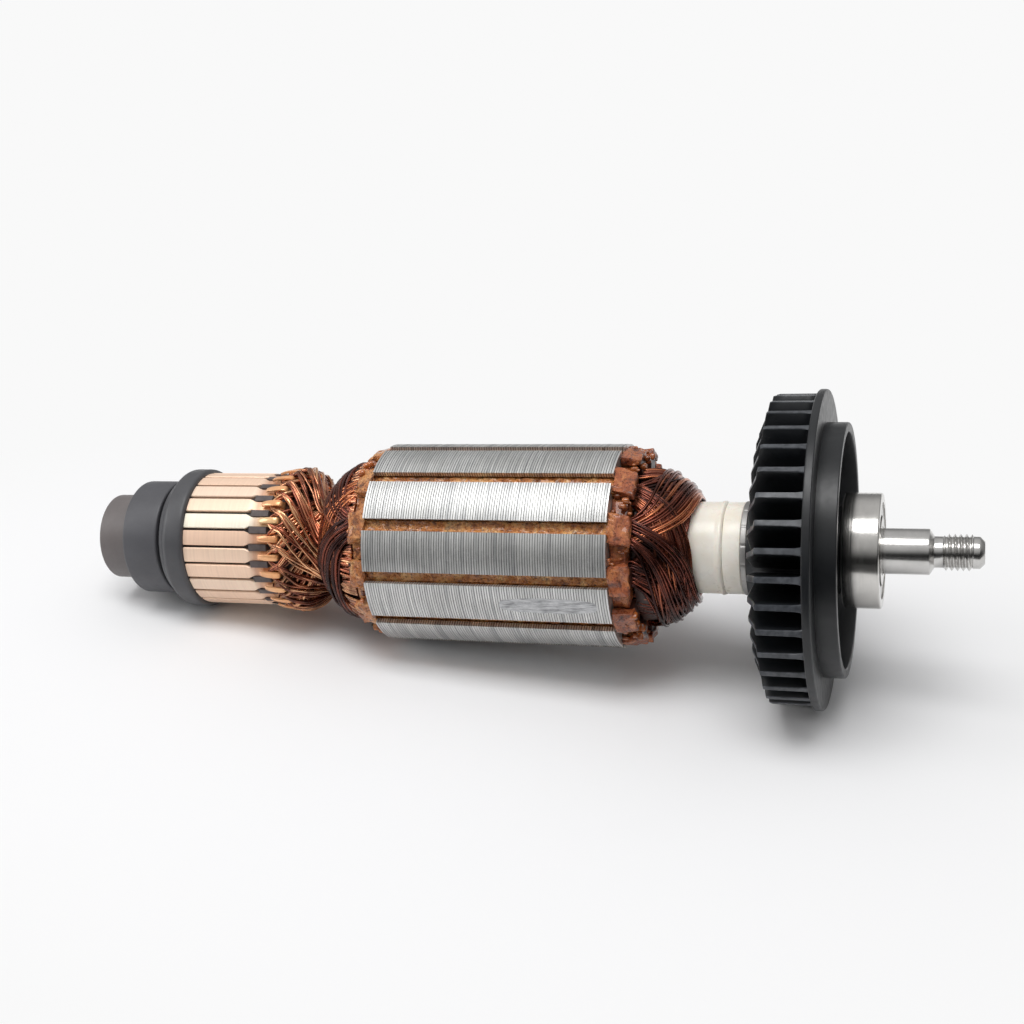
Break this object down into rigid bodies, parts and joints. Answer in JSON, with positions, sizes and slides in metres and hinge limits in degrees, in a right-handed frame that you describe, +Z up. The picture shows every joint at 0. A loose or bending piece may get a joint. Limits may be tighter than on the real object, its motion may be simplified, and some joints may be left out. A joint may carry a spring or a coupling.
{
  "type": "motor armature",
  "caption": "Wound motor armature with copper commutator, steel lamination core, cooling fan, threaded shaft and a ball bearing at each end.",
  "frame": {"origin": "middle of the drive-end bearing, on the shaft's axis", "axes": "+X along the shaft towards its threaded drive end, +Z up"},
  "size_m": [0.158, 0.053, 0.053],
  "materials": {
    "shaft_steel": "ground bright steel",
    "lamination_steel": "stacked electrical steel sheets, turned bright on the outside",
    "slot_paper": "tan insulating paper soaked in varnish",
    "wedge_fibre": "orange-brown pressed fibre with varnish drips",
    "enamelled_wire": "enamelled copper wire, dark copper brown",
    "end_fibre": "orange-tan fibre plate, rough with varnish",
    "lead_wire": "enamelled copper wire, glossy where it is fused to the hooks",
    "moulding": "dark grey moulding compound",
    "bush_steel": "turned steel",
    "black_plastic": "charcoal moulded plastic",
    "magnet": "warm dark grey bonded magnet",
    "ivory_plastic": "ivory moulded plastic, slightly glossy",
    "washer_steel": "light grey plated steel",
    "fan_plastic": "charcoal glass-filled plastic, satin",
    "rubber": "charcoal rubber",
    "bearing_steel": "polished bearing steel",
    "cage_steel": "pressed metal",
    "shield_steel": "pressed bright steel",
    "commutator_copper": "turned bare copper, light salmon"
  },
  "bodies": {
    "drive_bearing": {"drive_bearing_outer_ring": "bearing_steel", "drive_bearing_shields": "shield_steel"},
    "rotor": {"shaft": "shaft_steel", "lamination_stack": "lamination_steel", "slot_liners": "slot_paper", "slot_wedges": "wedge_fibre", "slot_coil_sides": "enamelled_wire", "commutator_end_insulator": "end_fibre", "drive_end_insulator": "end_fibre", "commutator_end_winding": "enamelled_wire", "drive_end_winding": "enamelled_wire", "commutator_leads": "lead_wire", "commutator_moulding": "moulding", "commutator_bush": "bush_steel", "dust_collar": "black_plastic", "spacer_bush": "black_plastic", "magnet_ring": "magnet", "insulating_tube": "ivory_plastic", "insulating_collar": "ivory_plastic", "notched_washer": "washer_steel", "cooling_fan": "fan_plastic", "drive_bearing_inner_ring": "bearing_steel", "rear_bearing_inner_ring": "bearing_steel", "commutator_bar_01": "commutator_copper", "commutator_bar_02": "commutator_copper", "commutator_bar_03": "commutator_copper", "commutator_bar_04": "commutator_copper", "commutator_bar_05": "commutator_copper", "commutator_bar_06": "commutator_copper", "commutator_bar_07": "commutator_copper", "commutator_bar_08": "commutator_copper", "commutator_bar_09": "commutator_copper", "commutator_bar_10": "commutator_copper", "commutator_bar_11": "commutator_copper", "commutator_bar_12": "commutator_copper", "commutator_bar_13": "commutator_copper", "commutator_bar_14": "commutator_copper", "commutator_bar_15": "commutator_copper", "commutator_bar_16": "commutator_copper", "commutator_bar_17": "commutator_copper", "commutator_bar_18": "commutator_copper", "commutator_bar_19": "commutator_copper", "commutator_bar_20": "commutator_copper", "commutator_bar_21": "commutator_copper", "commutator_bar_22": "commutator_copper", "commutator_bar_23": "commutator_copper", "commutator_bar_24": "commutator_copper"},
    "drive_bearing_balls_and_cage": {"drive_bearing_cage": "cage_steel", "drive_bearing_balls": "bearing_steel"},
    "rear_bearing": {"rear_bearing_outer_ring": "bearing_steel", "rear_bearing_shields": "shield_steel", "rubber_sleeve": "rubber"},
    "rear_bearing_balls_and_cage": {"rear_bearing_cage": "cage_steel", "rear_bearing_balls": "bearing_steel"}
  },
  "joints": [
    {"name": "rotor_spin", "type": "hinge", "parent": "drive_bearing", "child": "rotor", "pos_m": [0, 0, 0], "axis": [1, 0, 0], "continuous": true},
    {"name": "drive_balls_roll", "type": "hinge", "parent": "drive_bearing", "child": "drive_bearing_balls_and_cage", "pos_m": [0, 0, 0], "axis": [1, 0, 0], "continuous": true},
    {"name": "rear_bearing_spin", "type": "hinge", "parent": "rotor", "child": "rear_bearing", "pos_m": [-0.12897, 0, 0], "axis": [1, 0, 0], "continuous": true},
    {"name": "rear_balls_roll", "type": "hinge", "parent": "rotor", "child": "rear_bearing_balls_and_cage", "pos_m": [-0.12897, 0, 0], "axis": [1, 0, 0], "continuous": true}
  ],
  "couplings": [
    {"joint": "drive_balls_roll", "follows": "rotor_spin", "ratio": 0.3889},
    {"joint": "rear_balls_roll", "follows": "rear_bearing_spin", "ratio": 0.6111}
  ]
}
